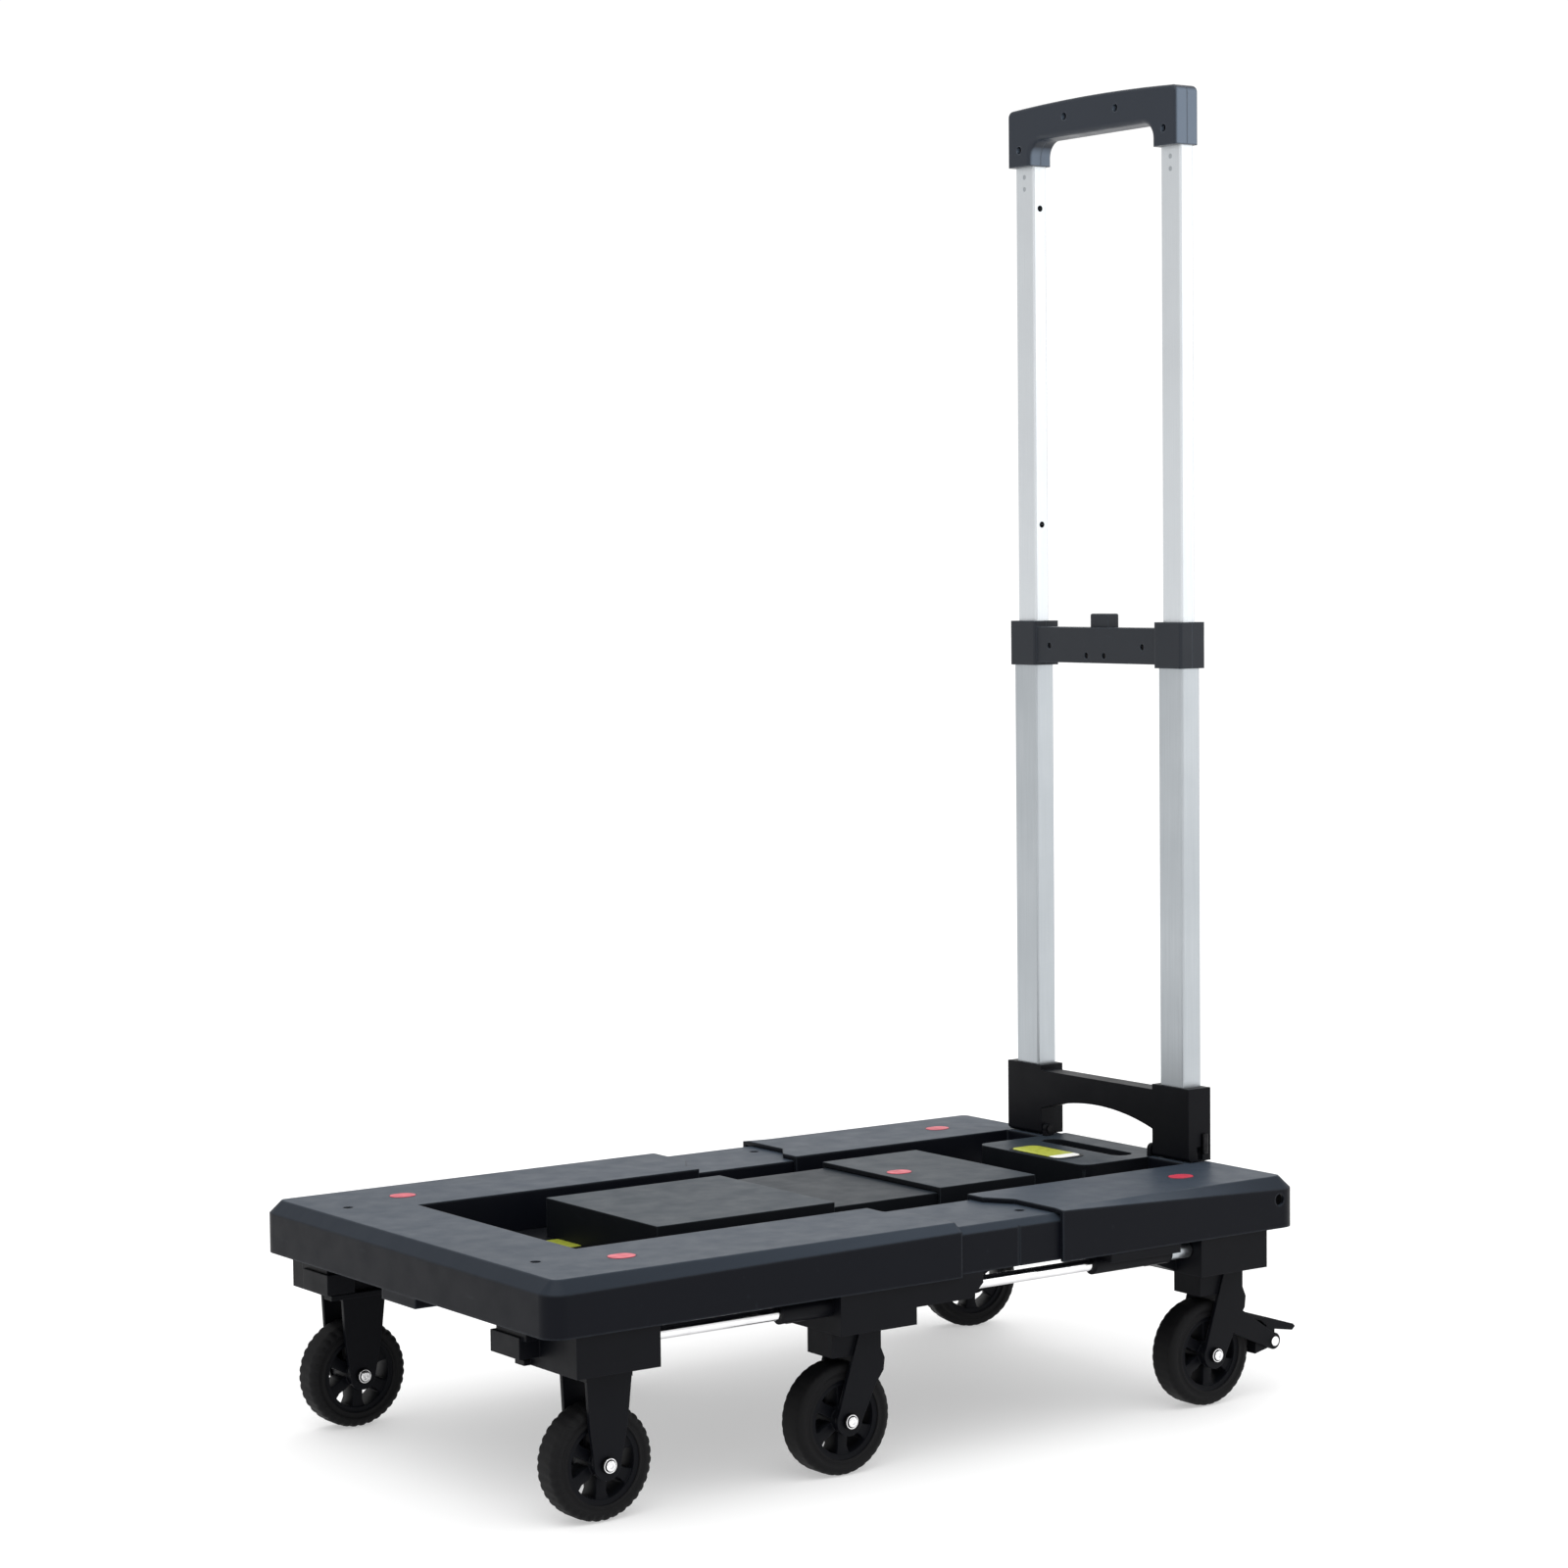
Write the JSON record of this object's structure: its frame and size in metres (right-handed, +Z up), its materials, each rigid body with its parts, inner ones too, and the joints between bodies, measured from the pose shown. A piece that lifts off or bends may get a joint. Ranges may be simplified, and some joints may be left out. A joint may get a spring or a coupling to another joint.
{
  "type": "folding platform cart",
  "caption": "Low folding platform cart: sliding three-part plastic deck, telescopic fold-down aluminium handle, fixed front wheels, swivel middle and rear casters with brake pedals.",
  "frame": {"origin": "on the floor, under the centre of the cart's outline", "axes": "+X from the deck's front to the handle, +Y to the cart's left side, +Z up"},
  "size_m": [0.64, 0.38, 0.9415],
  "materials": {
    "deck_shell": "fine textured",
    "deck_tile": "fine textured",
    "black_plastic": "satin",
    "handle_plastic": "satin",
    "aluminium": "satin anodised",
    "chrome": "polished",
    "tyre": "matt",
    "marker": "satin",
    "screw": "blackened"
  },
  "bodies": {
    "middle": {"middle_frame": "deck_shell", "middle_tile": "deck_tile", "middle_blocks": "black_plastic", "rod_bushings": "black_plastic"},
    "front": {"front_frame": "deck_shell", "front_floor": "black_plastic", "front_tile": "deck_tile", "front_blocks": "black_plastic", "front_rods": "chrome", "front_markers": "marker", "front_forks": "black_plastic", "front_axles": "screw"},
    "rear": {"rear_frame": "deck_shell", "rear_floor": "black_plastic", "rear_tile": "deck_tile", "carry_plate": "deck_tile", "rear_blocks": "black_plastic", "rear_rods": "chrome", "rod_sleeves": "black_plastic", "rear_markers": "marker", "fold_ears": "black_plastic", "fold_pins": "screw"},
    "handle": {"bracket": "black_plastic", "outer_tubes": "aluminium", "collar_front": "handle_plastic", "collar_rear": "handle_plastic", "collar_screws": "screw"},
    "button": {"button": "handle_plastic"},
    "upper": {"inner_tubes": "aluminium", "grip_front": "handle_plastic", "grip_rear": "handle_plastic", "grip_screws": "screw", "tube_rivets": "screw"},
    "caster_middle_left": {"fork_middle_left": "black_plastic", "axle_middle_left": "screw"},
    "caster_middle_right": {"fork_middle_right": "black_plastic", "axle_middle_right": "screw"},
    "caster_rear_left": {"fork_rear_left": "black_plastic", "axle_rear_left": "screw", "brake_pin_rear_left": "chrome"},
    "pedal_rear_left": {"pedal_rear_left": "black_plastic"},
    "caster_rear_right": {"fork_rear_right": "black_plastic", "axle_rear_right": "screw", "brake_pin_rear_right": "chrome"},
    "pedal_rear_right": {"pedal_rear_right": "black_plastic"},
    "wheel_front_left": {"tyre_front_left": "tyre", "hub_front_left": "black_plastic"},
    "wheel_front_right": {"tyre_front_right": "tyre", "hub_front_right": "black_plastic"},
    "wheel_middle_left": {"tyre_middle_left": "tyre", "hub_middle_left": "black_plastic"},
    "wheel_middle_right": {"tyre_middle_right": "tyre", "hub_middle_right": "black_plastic"},
    "wheel_rear_left": {"tyre_rear_left": "tyre", "hub_rear_left": "black_plastic"},
    "wheel_rear_right": {"tyre_rear_right": "tyre", "hub_rear_right": "black_plastic"}
  },
  "joints": [
    {"name": "front_slide", "type": "slide", "parent": "middle", "child": "front", "axis": [1, 0, 0], "range_m": [0, 0.0425]},
    {"name": "rear_slide", "type": "slide", "parent": "middle", "child": "rear", "axis": [-1, 0, 0], "range_m": [0, 0.0425]},
    {"name": "handle_fold", "type": "hinge", "parent": "rear", "child": "handle", "pos_m": [0.282, 0, 0.1658], "axis": [0, -1, 0], "range_deg": [0, 90]},
    {"name": "handle_telescope", "type": "slide", "parent": "handle", "child": "upper", "axis": [0, 0, -1], "range_m": [0, 0.325]},
    {"name": "button_press", "type": "slide", "parent": "handle", "child": "button", "axis": [0, 0, -1], "range_m": [0, 0.004], "stiffness_N_per_m": 300, "springref_m": -0.002},
    {"name": "swivel_middle_left", "type": "hinge", "parent": "middle", "child": "caster_middle_left", "pos_m": [-0.0634, 0.158, 0.0975], "axis": [0, 0, 1], "continuous": true},
    {"name": "spin_middle_left", "type": "hinge", "parent": "caster_middle_left", "child": "wheel_middle_left", "pos_m": [-0.07613, 0.14527, 0.0375], "axis": [-0.7071, 0.7071, 0], "continuous": true},
    {"name": "swivel_middle_right", "type": "hinge", "parent": "middle", "child": "caster_middle_right", "pos_m": [-0.0634, -0.158, 0.0975], "axis": [0, 0, 1], "continuous": true},
    {"name": "spin_middle_right", "type": "hinge", "parent": "caster_middle_right", "child": "wheel_middle_right", "pos_m": [-0.0814, -0.158, 0.0375], "axis": [0, 1, 0], "continuous": true},
    {"name": "swivel_rear_left", "type": "hinge", "parent": "rear", "child": "caster_rear_left", "pos_m": [0.258, 0.158, 0.0975], "axis": [0, 0, 1], "continuous": true},
    {"name": "spin_rear_left", "type": "hinge", "parent": "caster_rear_left", "child": "wheel_rear_left", "pos_m": [0.27539, 0.15334, 0.0375], "axis": [-0.2588, -0.9659, 0], "continuous": true},
    {"name": "brake_rear_left", "type": "hinge", "parent": "caster_rear_left", "child": "pedal_rear_left", "pos_m": [0.22129, 0.16784, 0.04], "axis": [-0.2588, -0.9659, 0], "range_deg": [0, 12]},
    {"name": "swivel_rear_right", "type": "hinge", "parent": "rear", "child": "caster_rear_right", "pos_m": [0.258, -0.158, 0.0975], "axis": [0, 0, 1], "continuous": true},
    {"name": "spin_rear_right", "type": "hinge", "parent": "caster_rear_right", "child": "wheel_rear_right", "pos_m": [0.24, -0.158, 0.0375], "axis": [0, 1, 0], "continuous": true},
    {"name": "brake_rear_right", "type": "hinge", "parent": "caster_rear_right", "child": "pedal_rear_right", "pos_m": [0.296, -0.158, 0.04], "axis": [0, 1, 0], "range_deg": [0, 12]},
    {"name": "spin_front_left", "type": "hinge", "parent": "front", "child": "wheel_front_left", "pos_m": [-0.2693, 0.158, 0.0375], "axis": [0, 1, 0], "continuous": true},
    {"name": "spin_front_right", "type": "hinge", "parent": "front", "child": "wheel_front_right", "pos_m": [-0.2693, -0.158, 0.0375], "axis": [0, 1, 0], "continuous": true}
  ]
}
